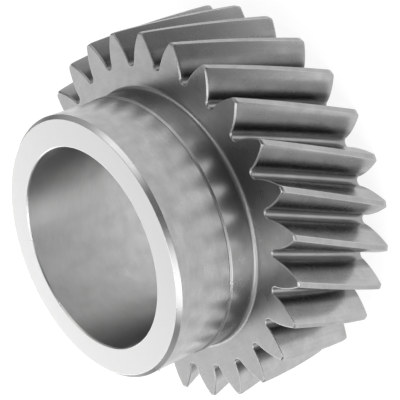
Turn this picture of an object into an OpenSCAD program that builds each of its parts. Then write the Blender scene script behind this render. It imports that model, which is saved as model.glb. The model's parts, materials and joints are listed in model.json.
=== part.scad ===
// Helical gear wheel with a long plain hub on one side, turned and ground from one piece of steel.
// The bore runs along +Z. The origin is on its axis at the toothed end, which is the end it stands on.

/* [Teeth] */
// Diameter over the tooth tips
outside_d = 94; // [88:1:120]
// Number of teeth
teeth = 26; // [22:1:34]
// Helix angle on the reference circle, in degrees
helix_angle = 21.5; // [10:0.5:30]
// Hand of the helix
helix_hand = 1; // [1:Right, -1:Left]
// Normal pressure angle, in degrees
pressure_angle = 20; // [17.5:0.5:22.5]
// Profile shift, in modules
profile_shift = 0.55; // [0.4:0.05:0.6]
// Height of the tooth tip over the shifted reference line, in modules
addendum = 1.15; // [1:0.05:1.2]
// Depth of the tooth space under the shifted reference line, in modules
dedendum = 1.6; // [1.5:0.05:1.7]
// Bevel along the flanks and roots at both end faces
tooth_bevel = 0.2; // [0.1:0.05:0.4]
// Chamfer of the outside diameter at both end faces
tip_chamfer = 0.8; // [0.6:0.1:1.2]

/* [Width] */
// Width of the toothed rim along the axis
face_width = 30; // [20:1:45]
// Length of the hub in front of the rim
hub_length = 23; // [15:1:40]

/* [Hub] */
// Diameter of the ground journal at the free end of the hub
journal_d = 65.5; // [58:0.5:66]
// Width of the unground band between the rim and the journal
band_width = 7.4; // [3:0.2:12]
// Height of the step from the journal up to the band
band_step = 0.25; // [0.15:0.05:0.6]
// Width of the grinding relief, a fine groove at the foot of the step
relief_width = 0.5; // [0.3:0.1:1]
// Depth of the grinding relief
relief_depth = 0.15; // [0.1:0.05:0.4]
// Chamfer on the outer edge of the hub's end face
hub_chamfer = 0.95; // [0.4:0.05:2]
// Radius in the corner between the band and the rim
corner_radius = 1; // [0.5:0.1:2]

/* [Bore] */
// Diameter of the plain bore
bore_d = 50; // [36:0.5:54]
// Chamfer at both ends of the bore
bore_chamfer = 0.3; // [0.2:0.1:1]

/* [Hidden] */
$fn = 96;
// Slices along the rim, and steps along one flank and down to the bottom of the space beside it
rim_slices = 6;
flank_steps = 5;
fillet_steps = 3;
search_steps = 30;
quarter_turn = 90;
half_turn = 180;
radian = half_turn / PI;

length = face_width + hub_length;
journal_r = journal_d / 2;
band_r = journal_r + band_step;
bore_r = bore_d / 2;
step_z = face_width + band_width;

pitch = 360 / teeth;
half_pitch = pitch / 2;
tip_r = outside_d / 2;
// Normal module, the tooth size measured square to the tooth. It is 3 mm at the sizes above.
normal_module = tip_r / (teeth / (2 * cos(helix_angle)) + addendum + profile_shift);
reference_r = tip_r - (addendum + profile_shift) * normal_module;
transverse_angle = atan(tan(pressure_angle) / cos(helix_angle));
base_r = reference_r * cos(transverse_angle);
root_r = reference_r - (dedendum - profile_shift) * normal_module;
// Turn of the teeth from z = 0 to z = face_width
twist = helix_hand * face_width * tan(helix_angle) / reference_r * radian;
// Half a tooth on the reference circle, as an angle, and the same where its flanks would meet the base circle
half_tooth = (quarter_turn + 2 * profile_shift * tan(pressure_angle) * radian) / teeth;
half_base = half_tooth + involute(tan(transverse_angle));

// Polar angle that an involute has turned back by, where its unwound string is t base radii long
function involute(t) = t * radian - atan(t);
// Length of the unwound string where the flank is at radius r
function string_at(r) = sqrt(r * r - base_r * base_r);
// Direction in which the string leaves the base circle, from the middle of the tooth
function leave_angle(s) = half_base - s / base_r * radian;
// Radius of the arc that touches the flank at string s and lies midway between two teeth
function arc_r(s) = base_r * tan(half_pitch - leave_angle(s)) - s;
function arc_centre(s) = base_r / cos(half_pitch - leave_angle(s));
// The string at which that arc's bottom lies on the root circle
function root_string(low, high, steps) =
    let (middle = (low + high) / 2)
    steps == 0 ? middle
    : arc_centre(middle) - arc_r(middle) < root_r ? root_string(middle, high, steps - 1)
    : root_string(low, middle, steps - 1);
arc_string = root_string(0, string_at(tip_r) / 2, search_steps);

function turned(p, a) = [p.x * cos(a) - p.y * sin(a), p.x * sin(a) + p.y * cos(a)];
function on_flank(s, inset) =
    let (a = leave_angle(s + inset))
    [base_r * cos(a) - s * sin(a), base_r * sin(a) + s * cos(a)];
// Half a tooth, from the bottom of the space up to the tip. Its flank lies inset inside the metal, and its tip
// lies tip_inset under the outside diameter.
function half_outline(inset, tip_inset) =
    let (bottom = half_pitch - half_turn,
         end = leave_angle(arc_string) - quarter_turn,
         r = arc_r(arc_string) + inset,
         centre = arc_centre(arc_string) * [cos(half_pitch), sin(half_pitch)],
         first = arc_string - inset,
         last = string_at(tip_r - tip_inset))
    concat([for (i = [0 : fillet_steps - 1])
                let (a = bottom + (end - bottom) * i / fillet_steps) centre + r * [cos(a), sin(a)]],
           [for (i = [0 : flank_steps]) on_flank(first + (last - first) * i / flank_steps, inset)]);
function tooth_outline(inset, tip_inset) =
    let (half = half_outline(inset, tip_inset))
    concat([for (p = half) [p.x, -p.y]],
           [for (i = [len(half) - 1 : -1 : 1]) half[i]]);
function rim_outline(inset, tip_inset) =
    let (one = tooth_outline(inset, tip_inset))
    [for (k = [0 : teeth - 1]) for (p = one) turned(p, k * pitch)];

// The rim with its teeth, a solid disc. Its end faces meet the teeth along a ring of one corner for each tooth.
module toothed_disc() {
    // Height, inset of the flanks and inset of the tips
    levels = concat([[0, tooth_bevel, tip_chamfer],
                     [tooth_bevel, 0, tip_chamfer - tooth_bevel]],
                    [for (i = [0 : rim_slices])
                        [tip_chamfer + (face_width - 2 * tip_chamfer) * i / rim_slices, 0, 0]],
                    [[face_width - tooth_bevel, 0, tip_chamfer - tooth_bevel],
                     [face_width, tooth_bevel, tip_chamfer]]);
    tooth_points = len(tooth_outline(0, 0));
    ring = teeth * tooth_points;
    top = (len(levels) - 1) * ring;
    ring_r = (root_r - tooth_bevel + band_r + corner_radius) / 2;
    low_hub = len(levels) * ring;
    high_hub = low_hub + teeth;
    walls = [for (level = levels)
                for (p = rim_outline(level[1], level[2]))
                    let (q = turned(p, twist * level[0] / face_width)) [q.x, q.y, level[0]]];
    hubs = [for (z = [0, face_width])
                for (k = [0 : teeth - 1])
                    let (q = turned([ring_r, 0], k * pitch + twist * z / face_width)) [q.x, q.y, z]];
    sides = [for (j = [0 : len(levels) - 2])
                for (i = [0 : ring - 1])
                    let (a = j * ring + i, b = j * ring + (i + 1) % ring)
                    each [[a, a + ring, b + ring], [a, b + ring, b]]];
    ends = [for (k = [0 : teeth - 1])
                let (next = (k + 1) % teeth)
                each concat(
                    [for (i = [0 : tooth_points - 1])
                        let (a = k * tooth_points + i, b = (a + 1) % ring)
                        each [[low_hub + k, a, b], [high_hub + k, top + b, top + a]]],
                    [[low_hub + k, next * tooth_points, low_hub + next],
                     [high_hub + k, high_hub + next, top + next * tooth_points]])];
    middles = [[for (k = [0 : teeth - 1]) low_hub + k],
               [for (k = [teeth - 1 : -1 : 0]) high_hub + k]];
    polyhedron(concat(walls, hubs), concat(sides, ends, middles));
}

// The hub as it is turned: the band beside the rim, the step down into the relief, then the ground journal.
module hub() {
    rotate_extrude() {
        polygon([
            [0, face_width / 2],
            [band_r, face_width / 2],
            [band_r, step_z - band_step],
            [journal_r - relief_depth, step_z + relief_depth],
            [journal_r, step_z + relief_width],
            [journal_r, length - hub_chamfer],
            [journal_r - hub_chamfer, length],
            [0, length]
        ]);
        difference() {
            translate([band_r, face_width])
                square(corner_radius);
            translate([band_r + corner_radius, face_width + corner_radius])
                circle(corner_radius);
        }
    }
}

// What the boring bar takes away, with a chamfer at each end.
module bore() {
    past = 1;
    rotate_extrude()
        polygon([
            [0, -past],
            [bore_r + bore_chamfer + past, -past],
            [bore_r, bore_chamfer],
            [bore_r, length - bore_chamfer],
            [bore_r + bore_chamfer + past, length + past],
            [0, length + past]
        ]);
}

module gear_wheel() {
    color("silver")
        difference() {
            union() {
                toothed_disc();
                hub();
            }
            bore();
        }
}

gear_wheel();
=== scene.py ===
"""A helical gear wheel with a long hub, made from one piece of steel, standing on its toothed end.

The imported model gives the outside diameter, the length, the bore and the journal. This script builds
the same form again as one fine mesh with softened edges, because its steel shows every facet, and
gives each surface its own finish. Lengths are in millimetres here and in metres on the Blender objects.
"""

import json
import math

import bpy
import numpy as np
from mathutils import Matrix, Vector


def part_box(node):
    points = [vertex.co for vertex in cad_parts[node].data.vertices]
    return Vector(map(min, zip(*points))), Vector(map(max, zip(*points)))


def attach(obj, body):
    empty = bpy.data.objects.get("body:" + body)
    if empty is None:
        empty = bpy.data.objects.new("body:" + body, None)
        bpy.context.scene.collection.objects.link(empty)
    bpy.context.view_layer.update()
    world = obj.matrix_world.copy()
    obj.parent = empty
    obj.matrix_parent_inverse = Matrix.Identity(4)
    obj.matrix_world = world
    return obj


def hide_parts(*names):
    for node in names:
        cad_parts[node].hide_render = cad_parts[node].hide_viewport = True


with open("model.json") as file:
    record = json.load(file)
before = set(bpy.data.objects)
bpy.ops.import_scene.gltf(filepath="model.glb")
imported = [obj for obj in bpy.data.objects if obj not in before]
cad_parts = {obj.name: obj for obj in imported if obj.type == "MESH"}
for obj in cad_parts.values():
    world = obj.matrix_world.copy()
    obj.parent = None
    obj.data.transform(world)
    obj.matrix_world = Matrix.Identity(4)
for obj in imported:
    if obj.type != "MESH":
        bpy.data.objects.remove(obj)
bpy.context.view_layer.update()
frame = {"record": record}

MM = 0.001
NODE = "gear_wheel"

# Teeth, as in the part's source
TEETH = 26
HELIX_ANGLE = math.radians(21.5)
PRESSURE_ANGLE = math.radians(20)
PROFILE_SHIFT = 0.55
ADDENDUM = 1.15
DEDENDUM = 1.6
TOOTH_BEVEL = 0.2
FACE_WIDTH = 30

# Hub and bore
BAND_STEP = 0.25
BAND_WIDTH = 7.4
RELIEF_WIDTH = 0.5
RELIEF_DEPTH = 0.15
HUB_CHAMFER = 0.95
CORNER_RADIUS = 1
BORE_CHAMFER = 0.3

# Softened edges: how far from each sharp edge its rounding starts
SOFT_BEVEL = 0.14
SOFT_TIP = 0.25
SOFT_HUB = 0.08
SOFT_RELIEF = 0.04

# The chamfer of the tooth tips, rounded all over: its reach along the tip and down the end face
TIP_ROUND = (1.1, 0.6)

# Fineness of the mesh
FLANK_STEPS = 13
FILLET_STEPS = 8
LAND_STEPS = 2
RIM_SLICES = 20
CORNER_STEPS = 8
ROUNDING_STEPS = 3
TIP_ROUND_STEPS = 8
HUB_SIDES_PER_TOOTH = 8
SEARCH_STEPS = 40
SHARP_ANGLE = math.radians(32)
FACE_WEIGHT = 100


def mount(name):
    """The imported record's mount of that name."""
    return next(m for m in frame["record"]["mounts"] if m["name"] == name)


low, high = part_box(NODE)
LENGTH = (high[2] - low[2]) / MM
TIP_R = (high[0] - low[0]) / MM / 2
BORE_R = mount("bore")["dims"]["r_mm"]
JOURNAL_R = mount("journal")["dims"]["r_mm"]
BAND_R = JOURNAL_R + BAND_STEP
STEP_Z = FACE_WIDTH + BAND_WIDTH

MODULE = TIP_R / (TEETH / (2 * math.cos(HELIX_ANGLE)) + ADDENDUM + PROFILE_SHIFT)
REFERENCE_R = TIP_R - (ADDENDUM + PROFILE_SHIFT) * MODULE
TRANSVERSE_ANGLE = math.atan(math.tan(PRESSURE_ANGLE) / math.cos(HELIX_ANGLE))
BASE_R = REFERENCE_R * math.cos(TRANSVERSE_ANGLE)
ROOT_R = REFERENCE_R - (DEDENDUM - PROFILE_SHIFT) * MODULE
PITCH = 2 * math.pi / TEETH
HALF_PITCH = PITCH / 2
TWIST = FACE_WIDTH * math.tan(HELIX_ANGLE) / REFERENCE_R
HALF_TOOTH = (math.pi / 2 + 2 * PROFILE_SHIFT * math.tan(PRESSURE_ANGLE)) / TEETH


def involute(t):
    """Polar angle that an involute has turned by, where its unwound string is t base radii long."""
    return t - math.atan(t)


HALF_BASE = HALF_TOOTH + involute(math.tan(TRANSVERSE_ANGLE))


def polar(r, a):
    return Vector((r * math.cos(a), r * math.sin(a)))


def leave_angle(s):
    """Direction in which a string of length s leaves the base circle, from the middle of the tooth."""
    return HALF_BASE - s / BASE_R


def arc_r(s):
    """Radius of the arc that touches the flank at string s and lies midway between two teeth."""
    return BASE_R * math.tan(HALF_PITCH - leave_angle(s)) - s


def arc_centre(s):
    return BASE_R / math.cos(HALF_PITCH - leave_angle(s))


def root_string():
    """The string at which the bottom of that arc lies on the root circle."""
    lower, upper = 0, math.sqrt(TIP_R ** 2 - BASE_R ** 2) / 2
    for _ in range(SEARCH_STEPS):
        middle = (lower + upper) / 2
        if arc_centre(middle) - arc_r(middle) < ROOT_R:
            lower = middle
        else:
            upper = middle
    return middle


ARC_STRING = root_string()


def on_flank(s, inset):
    a = leave_angle(s + inset)
    return polar(BASE_R, a) + s * Vector((-math.sin(a), math.cos(a)))


def rounding(before, corner, after, soft):
    """A corner softened over the length soft on both sides, as points along a curve."""
    start = corner + (before - corner).normalized() * soft
    end = corner + (after - corner).normalized() * soft
    steps = [i / ROUNDING_STEPS for i in range(ROUNDING_STEPS + 1)]
    return [start * (1 - t) ** 2 + corner * 2 * t * (1 - t) + end * t ** 2 for t in steps]


def half_tooth(inset, tip_inset):
    """Half a tooth's outline from the middle of the land down to the root, and the label of the surface
    under each stretch of it. Its flank lies inset inside the metal, and its tip lies tip_inset under the
    outside diameter."""
    last = math.sqrt((TIP_R - tip_inset) ** 2 - BASE_R ** 2)
    first = ARC_STRING - inset
    upper = last - SOFT_TIP * BASE_R / last
    corner = on_flank(last, inset)
    middle = Vector((corner.x, 0))
    soft = rounding(middle, corner, on_flank(upper, inset), SOFT_TIP)
    land = [middle.lerp(soft[0], i / LAND_STEPS) for i in range(LAND_STEPS)]
    strings = [upper + (first - upper) * i / FLANK_STEPS for i in range(1, FLANK_STEPS + 1)]
    flank = [on_flank(s, inset) for s in strings]
    centre = polar(arc_centre(ARC_STRING), HALF_PITCH)
    start, end = leave_angle(ARC_STRING) - math.pi / 2, HALF_PITCH - math.pi
    root = [centre + polar(arc_r(ARC_STRING) + inset, start + (end - start) * i / FILLET_STEPS)
            for i in range(1, FILLET_STEPS + 1)]
    labels = ["land"] * (LAND_STEPS + 1)
    labels += ["flank"] * (ROUNDING_STEPS - 1 + FLANK_STEPS)
    labels += ["root"] * FILLET_STEPS
    return land + soft + flank + root, labels


def tooth_outline(inset, tip_inset):
    """A whole tooth from one root to the next, without the last point, which the next tooth repeats."""
    half, labels = half_tooth(inset, tip_inset)
    mirrored = [Vector((p.x, -p.y)) for p in reversed(half)]
    return mirrored[:-1] + half[:-1], labels[::-1] + labels


def end_bevel():
    """Height and inset along the bevel at an end face, with both its edges softened."""
    outer, inner = Vector((0, TOOTH_BEVEL)), Vector((TOOTH_BEVEL, 0))
    return rounding(2 * outer, outer, inner, SOFT_BEVEL) + rounding(outer, inner, 2 * inner, SOFT_BEVEL)


def tip_round():
    """Height and inset along the rounded chamfer of the tips."""
    steps = [i / TIP_ROUND_STEPS for i in range(TIP_ROUND_STEPS + 1)]
    return [Vector((TIP_ROUND[0] * t ** 2, TIP_ROUND[1] * (1 - t) ** 2)) for t in steps]


def inset_at(curve, z):
    return float(np.interp(z, [p.x for p in curve], [p.y for p in curve]))


def rim_levels():
    """Height, flank inset and tip inset of each level of the rim from the toothed end up, and the part
    of the teeth that lies between each two levels."""
    bevel, chamfer = end_bevel(), tip_round()
    heights = sorted({p.x for p in bevel + chamfer})
    levels = [(z, inset_at(bevel, z), inset_at(chamfer, z)) for z in heights]
    ends = ["bevel" if z < bevel[-1].x else "chamfer" for z in heights[:-1]]
    edge = heights[-1]
    middle = [(edge + (FACE_WIDTH - 2 * edge) * i / RIM_SLICES, 0, 0) for i in range(1, RIM_SLICES)]
    above = [(FACE_WIDTH - z, inset, tip_inset) for z, inset, tip_inset in reversed(levels)]
    return levels + middle + above, ends + ["middle"] * RIM_SLICES + ends[::-1]


def hub_profile():
    """The turned surface from the rim's face over the hub and down the bore: points of radius and height,
    and the label of the surface between them."""
    centre = Vector((BAND_R + CORNER_RADIUS, FACE_WIDTH + CORNER_RADIUS))
    corner_angles = [-math.pi / 2 * (1 + i / CORNER_STEPS) for i in range(CORNER_STEPS + 1)]
    points = [centre + polar(CORNER_RADIUS, a) for a in corner_angles]
    labels = ["corner"] * CORNER_STEPS
    turns = [
        ("band", (BAND_R, STEP_Z - BAND_STEP), SOFT_RELIEF),
        ("step", (JOURNAL_R - RELIEF_DEPTH, STEP_Z + RELIEF_DEPTH), SOFT_RELIEF),
        ("step", (JOURNAL_R, STEP_Z + RELIEF_WIDTH), SOFT_RELIEF),
        ("journal", (JOURNAL_R, LENGTH - HUB_CHAMFER), SOFT_HUB),
        ("edge", (JOURNAL_R - HUB_CHAMFER, LENGTH), SOFT_HUB),
        ("hub_face", (BORE_R + BORE_CHAMFER, LENGTH), SOFT_HUB),
        ("edge", (BORE_R, LENGTH - BORE_CHAMFER), SOFT_HUB),
        ("bore", (BORE_R, BORE_CHAMFER), SOFT_HUB),
        ("edge", (BORE_R + BORE_CHAMFER, 0), SOFT_HUB),
    ]
    ends = [points[-1]] + [Vector(place) for _, place, _ in turns] + [Vector((ROOT_R, 0))]
    for i, (label, _, soft) in enumerate(turns):
        points += rounding(ends[i], ends[i + 1], ends[i + 2], soft)
        labels += [label] + ["edge"] * ROUNDING_STEPS
    return points, labels


def turned(p, a, z):
    """A point of an outline, turned by a about the axis and lifted to height z, in metres."""
    q = polar(p.length, math.atan2(p.y, p.x) + a)
    return q.x * MM, q.y * MM, z * MM


class Skin:
    """The vertices and faces of the wheel, with a surface label for each face."""

    def __init__(self):
        self.verts, self.faces, self.labels = [], [], []

    def ring(self, points):
        start = len(self.verts)
        self.verts += points
        return range(start, len(self.verts))

    def band(self, a, b, labels):
        """Quads between two rings, with labels repeated round them."""
        count = len(a)
        for i in range(count):
            n = (i + 1) % count
            self.faces.append((a[i], a[n], b[n], b[i]))
            self.labels.append(labels[i % len(labels)])

    def end_face(self, outer, inner, shift, up, label):
        """A flat face for each tooth, between its outline and the turned surface's ring."""
        per_tooth, sides = len(outer) // TEETH, HUB_SIDES_PER_TOOTH
        for k in range(TEETH):
            rim = [outer[(k * per_tooth + i) % len(outer)] for i in range(per_tooth + 1)]
            hub = [inner[(k * sides - shift + i) % len(inner)] for i in range(sides + 1)]
            corners = rim + hub[::-1]
            self.faces.append(corners if up else corners[::-1])
            self.labels.append(label)


def build_skin():
    skin = Skin()
    levels, parts = rim_levels()
    rings = []
    for z, inset, tip_inset in levels:
        outline, across = tooth_outline(inset, tip_inset)
        turn = TWIST * z / FACE_WIDTH
        rings.append(skin.ring([turned(p, k * PITCH + turn, z) for k in range(TEETH) for p in outline]))
    across_part = {
        "bevel": ["bevel"],
        "chamfer": ["chamfer" if label == "land" else label for label in across],
        "middle": across,
    }
    for a, b, part in zip(rings, rings[1:], parts):
        skin.band(a, b, across_part[part])

    profile, along = hub_profile()
    step = PITCH / HUB_SIDES_PER_TOOTH
    phase = TWIST - HALF_PITCH
    angles = [phase + i * step for i in range(TEETH * HUB_SIDES_PER_TOOTH)]
    circles = [skin.ring([turned(Vector((p.x, 0)), a, p.y) for a in angles]) for p in profile]
    for a, b, label in zip(circles, circles[1:], along):
        skin.band(a, b, [label])

    skin.end_face(rings[-1], circles[0], 0, True, "rim_face")
    skin.end_face(rings[0], circles[-1], round(TWIST / step), False, "back_face")
    return skin


# Finishes: tone of the bare steel, how much of it is kept at a flat angle, roughness, how far the marks
# of the tools spread a highlight across them, depth of the clouds, which is twice that of the marks, and
# the lay of the marks, as whether they change along z and along the radius
FINISHES = {
    "hub_face": (0.545, 1, 0.35, 0, 0, (0, 1)),
    "journal": (0.383, 1, 0.3, 0.4, 0.08, (1, 0)),
    "band": (0.378, 0.9, 0.3, 0, 0.08, (1, 0)),
    "corner": (0.362, 0.9, 0.4, 0, 0.04, (1, 0)),
    "step": (0.34, 0.9, 0.35, 0, 0.04, (1, 0)),
    "rim_face": (0.334, 0.9, 0.3, 0, 0.08, (0, 1)),
    "back_face": (0.37, 0.9, 0.3, 0, 0.08, (0, 1)),
    "flank": (0.43, 0.8, 0.26, 0, 0.08, (0, 1)),
    "root": (0.355, 0.9, 0.38, 0, 0.04, (0, 1)),
    "land": (0.363, 0.9, 0.34, 0, 0.08, (1, 0)),
    "chamfer": (0.43, 1, 0.38, 0, 0, (1, 0)),
    "bevel": (0.395, 1, 0.36, 0, 0, (1, 1)),
    "edge": (0.61, 1, 0.3, 0, 0, (1, 1)),
    "bore": (0.63, 0.25, 0.35, 0.84, 0.05, (1, 0)),
}
TINT = (0.995, 1, 0.99)
# How far the spread of the highlights is turned, in whole turns, so that it runs along the axis
SPREAD_TURN = 0.25
CLOUD_SIZE = 4 * MM
CLOUD_DETAIL = 4
MARK_SPACING = 0.5 * MM
MARKS_ROUND = 9
MARK_DETAIL = 2
NOISE_MIDDLE = (0.3, 0.7)
ROUGHNESS_SWING = 0.04
# The painted shade at the foot of each flank, darker towards the root: height over the root circle, and
# share of the tone
PAINTED_FOOT_SHADES = ((0.8, 0.9), (1.5, 0.45), (2.6, 0.5), (4.4, 1))


def node(tree, kind, inputs=None, **settings):
    """A shader node with its settings, and its inputs set to values or linked to sockets."""
    made = tree.nodes.new(kind)
    for name, value in settings.items():
        setattr(made, name, value)
    for name, value in (inputs or {}).items():
        if isinstance(value, bpy.types.NodeSocket):
            tree.links.new(value, made.inputs[name])
        else:
            made.inputs[name].default_value = value
    return made


def maths(tree, operation, *values):
    """The result of a calculation with values or sockets."""
    return node(tree, "ShaderNodeMath", dict(enumerate(values)), operation=operation).outputs[0]


def vectors(tree, operation, *values):
    """The result of a calculation with vectors or sockets."""
    made = node(tree, "ShaderNodeVectorMath", dict(enumerate(values)), operation=operation)
    return made.outputs["Value" if operation == "LENGTH" else "Vector"]


def noise(tree, place, scale, detail):
    made = node(tree, "ShaderNodeTexNoise", {"Vector": place, "Scale": scale, "Detail": detail})
    return made.outputs["Fac"]


def swing(tree, value, first, last):
    """The middle of a noise's range, spread from first to last."""
    made = node(tree, "ShaderNodeMapRange", {
        "Value": value,
        "From Min": NOISE_MIDDLE[0],
        "From Max": NOISE_MIDDLE[1],
        "To Min": first,
        "To Max": last,
    })
    return made.outputs["Result"]


def mark_lines(tree, place, lay):
    """Noise drawn out into the fine lines that turning and grinding leave."""
    flat = vectors(tree, "MULTIPLY", place, (1, 1, 0))
    radius = vectors(tree, "LENGTH", flat)
    around = vectors(tree, "MULTIPLY", vectors(tree, "NORMALIZE", flat), (MARKS_ROUND,) * 3)
    height = node(tree, "ShaderNodeSeparateXYZ", {0: place}).outputs["Z"]
    along_z = maths(tree, "MULTIPLY", height, lay[0] / MARK_SPACING)
    across = maths(tree, "MULTIPLY_ADD", radius, lay[1] / MARK_SPACING, along_z)
    lines = node(tree, "ShaderNodeCombineXYZ", {"Z": across}).outputs[0]
    return noise(tree, vectors(tree, "ADD", around, lines), 1, MARK_DETAIL)


def painted_foot_shade(tree, place):
    """Painted shade: the darker foot of the flanks, as a share of their tone."""
    radius = vectors(tree, "LENGTH", vectors(tree, "MULTIPLY", place, (1 / MM, 1 / MM, 0)))
    span = PAINTED_FOOT_SHADES[-1][0]
    share = node(tree, "ShaderNodeMapRange", {
        "Value": radius,
        "From Min": ROOT_R,
        "From Max": ROOT_R + span,
    })
    ramp = node(tree, "ShaderNodeValToRGB", {"Fac": share.outputs["Result"]})
    ramp.color_ramp.interpolation = "EASE"
    stops = ramp.color_ramp.elements
    for height, _ in PAINTED_FOOT_SHADES[1:-1]:
        stops.new(height / span)
    for stop, (height, shade) in zip(stops, PAINTED_FOOT_SHADES):
        stop.position = height / span
        stop.color = (shade,) * 3 + (1,)
    return ramp.outputs["Color"]


def steel(name, tone, grazing, roughness, spread, mottling, lay):
    """Bare steel: a cloudy tone with the fine marks of the tool in it, and a roughness that follows the
    clouds."""
    material = bpy.data.materials.new(name)
    material.use_nodes = True
    tree = material.node_tree
    shader = tree.nodes["Principled BSDF"]
    shader.inputs["Metallic"].default_value = 1
    shader.inputs["Specular Tint"].default_value = (grazing,) * 3 + (1,)
    shader.inputs["Anisotropic"].default_value = spread
    shader.inputs["Anisotropic Rotation"].default_value = SPREAD_TURN
    place = node(tree, "ShaderNodeTexCoord").outputs["Object"]
    cloud = noise(tree, place, 1 / CLOUD_SIZE, CLOUD_DETAIL)
    clouds = swing(tree, cloud, 1 - mottling, 1 + mottling)
    marks = swing(tree, mark_lines(tree, place, lay), 1 - mottling / 2, 1 + mottling / 2)
    level = maths(tree, "MULTIPLY", clouds, marks)
    colour = vectors(tree, "MULTIPLY", [tone * c for c in TINT], level)
    # The flanks get painted shade, darker towards their foot at the root circle
    if name == "flank":
        colour = vectors(tree, "MULTIPLY", colour, painted_foot_shade(tree, place))
    tree.links.new(colour, shader.inputs["Base Color"])
    rough = swing(tree, cloud, roughness + ROUGHNESS_SWING, roughness - ROUGHNESS_SWING)
    tree.links.new(rough, shader.inputs["Roughness"])
    return material


def add(name, data):
    """An object of that name in the scene."""
    thing = bpy.data.objects.new(name, data)
    bpy.context.scene.collection.objects.link(thing)
    return thing


def make_wheel():
    skin = build_skin()
    mesh = bpy.data.meshes.new("gear_wheel_steel")
    mesh.from_pydata(skin.verts, [], skin.faces)
    order = list(FINISHES)
    for name, finish in FINISHES.items():
        mesh.materials.append(steel(name, *finish))
    for polygon, label in zip(mesh.polygons, skin.labels):
        polygon.material_index = order.index(label)
        polygon.use_smooth = True
    mesh.set_sharp_from_angle(angle=SHARP_ANGLE)
    wheel = add("gear_wheel_steel", mesh)
    normals = wheel.modifiers.new("even_normals", "WEIGHTED_NORMAL")
    normals.mode = "FACE_AREA"
    normals.weight = FACE_WEIGHT
    normals.keep_sharp = True
    return wheel


wheel = make_wheel()
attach(wheel, "root")
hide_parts(NODE)

# The camera: where it aims, from which side and height, how far away and how far it is rolled, its lens,
# and the nearest distance it shows
AIM = Vector((0.85, 0, 17.49)) * MM
CAMERA_AZIMUTH = -0.22
CAMERA_ELEVATION = 36
CAMERA_DISTANCE = 340.7 * MM
CAMERA_ROLL = -112.16
LENS = 121.97
SENSOR_WIDTH = 36
NEAREST = 10 * MM


def direction(azimuth, elevation):
    """Unit vector towards that side and height, in degrees. Azimuth 0 is the front, -Y, and 90 is +X."""
    a, e = math.radians(azimuth), math.radians(elevation)
    return Vector((math.sin(a) * math.cos(e), -math.cos(a) * math.cos(e), math.sin(e)))


def facing(back):
    """The turn that points an object's -Z axis the other way, with its Y axis up."""
    right = Vector((0, 0, 1)).cross(back).normalized()
    return Matrix((right, back.cross(right), back)).transposed()


def make_camera():
    data = bpy.data.cameras.new("camera")
    data.lens = LENS
    data.sensor_width = SENSOR_WIDTH
    data.clip_start = NEAREST
    camera = add("camera", data)
    back = direction(CAMERA_AZIMUTH, CAMERA_ELEVATION)
    turn = facing(back) @ Matrix.Rotation(math.radians(CAMERA_ROLL), 3, "Z")
    camera.matrix_world = Matrix.Translation(AIM + CAMERA_DISTANCE * back) @ turn.to_4x4()
    bpy.context.scene.camera = camera


# The studio: softboxes round the wheel, each with the side and height it stands at, its width and
# height in metres, and its brightness, where 1 is as bright as a white floor
LIGHT_DISTANCE = 1.0
SOFTBOXES = {
    "back": (178, 32, 0.9, 0.75, 1.1),
    "low_back": (184, 13, 1.1, 0.36, 2.45),
    "back_left": (214, 30, 0.4, 0.7, 1.35),
    "side_left": (244, 16, 0.6, 0.4, 0.45),
    "left": (-60, 24, 0.5, 0.45, 4.35),
    "upper_left": (-58, 50, 0.8, 0.4, 1.6),
    "right": (72, 40, 0.7, 0.7, 1.35),
    "side_right": (114, 22, 0.6, 0.5, 0.37),
    "top": (240, 72, 0.46, 0.4, 4.6),
    "overhead": (0, 78, 0.9, 0.6, 0.17),
}
# The floor, in metres: its matt tone, and the glow the camera sees on top of that
FLOOR_RADIUS = 8.0
FLOOR_SIDES = 64
FLOOR_TONE = 0.24
FLOOR_GLOW = 0.88
# The floor as the steel mirrors it, a painted pool of light: white up to the first distance, falling to
# the far share given below at the second
PAINTED_POOL_REACH = (0.12, 0.24)
PAINTED_POOL_FAR = 0.3
ROOM_TONE = 0.1


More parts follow.
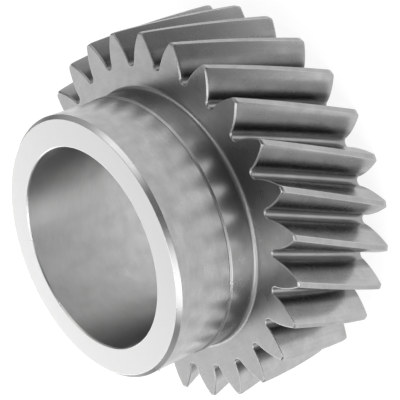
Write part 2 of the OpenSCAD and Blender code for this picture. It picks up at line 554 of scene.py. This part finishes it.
def make_softboxes():
    for name, (azimuth, elevation, width, height, brightness) in SOFTBOXES.items():
        data = bpy.data.lights.new(name + "_softbox", "AREA")
        data.shape = "RECTANGLE"
        data.size, data.size_y = width, height
        data.energy = brightness * math.pi * width * height
        towards = direction(azimuth, elevation)
        box = add(data.name, data)
        box.matrix_world = Matrix.Translation(LIGHT_DISTANCE * towards) @ facing(towards).to_4x4()


def make_floor():
    """A pale floor that the camera sees as white, and that still takes a soft shadow. In the steel it
    shows a painted pool of light: its glow is white round the wheel and falls off further out, as under a
    lamp."""
    mesh = bpy.data.meshes.new("floor")
    corners = [FLOOR_RADIUS * polar(1, 2 * math.pi * i / FLOOR_SIDES) for i in range(FLOOR_SIDES)]
    mesh.from_pydata([(x, y, 0) for x, y in corners], [], [list(range(FLOOR_SIDES))])
    material = bpy.data.materials.new("floor")
    material.use_nodes = True
    mesh.materials.append(material)
    tree = material.node_tree
    tree.nodes.clear()
    path = node(tree, "ShaderNodeLightPath").outputs
    place = node(tree, "ShaderNodeTexCoord").outputs["Object"]
    # Painted pool of light: the glow the steel sees is white near the wheel and dimmer further out
    painted_pool = node(tree, "ShaderNodeMapRange", {
        "Value": vectors(tree, "LENGTH", place),
        "From Min": PAINTED_POOL_REACH[0],
        "From Max": PAINTED_POOL_REACH[1],
        "To Min": 1,
        "To Max": PAINTED_POOL_FAR,
    }, interpolation_type="SMOOTHSTEP").outputs["Result"]
    mirror_ray = maths(tree, "ADD", path["Is Glossy Ray"], path["Is Transmission Ray"])
    mirrored = maths(tree, "MULTIPLY", mirror_ray, painted_pool)
    strength = maths(tree, "MULTIPLY_ADD", path["Is Camera Ray"], FLOOR_GLOW, mirrored)
    glow = node(tree, "ShaderNodeEmission", {"Strength": strength}).outputs[0]
    matt = node(tree, "ShaderNodeBsdfDiffuse", {"Color": (FLOOR_TONE,) * 3 + (1,)}).outputs[0]
    both = node(tree, "ShaderNodeAddShader", {0: glow, 1: matt}).outputs[0]
    node(tree, "ShaderNodeOutputMaterial", {"Surface": both})
    return add("floor", mesh)


def make_room():
    world = bpy.data.worlds.new("room")
    bpy.context.scene.world = world
    world.use_nodes = True
    world.node_tree.nodes["Background"].inputs["Color"].default_value = (ROOM_TONE,) * 3 + (1,)


make_camera()
make_softboxes()
make_floor()
make_room()
bpy.context.scene.view_settings.view_transform = "Standard"
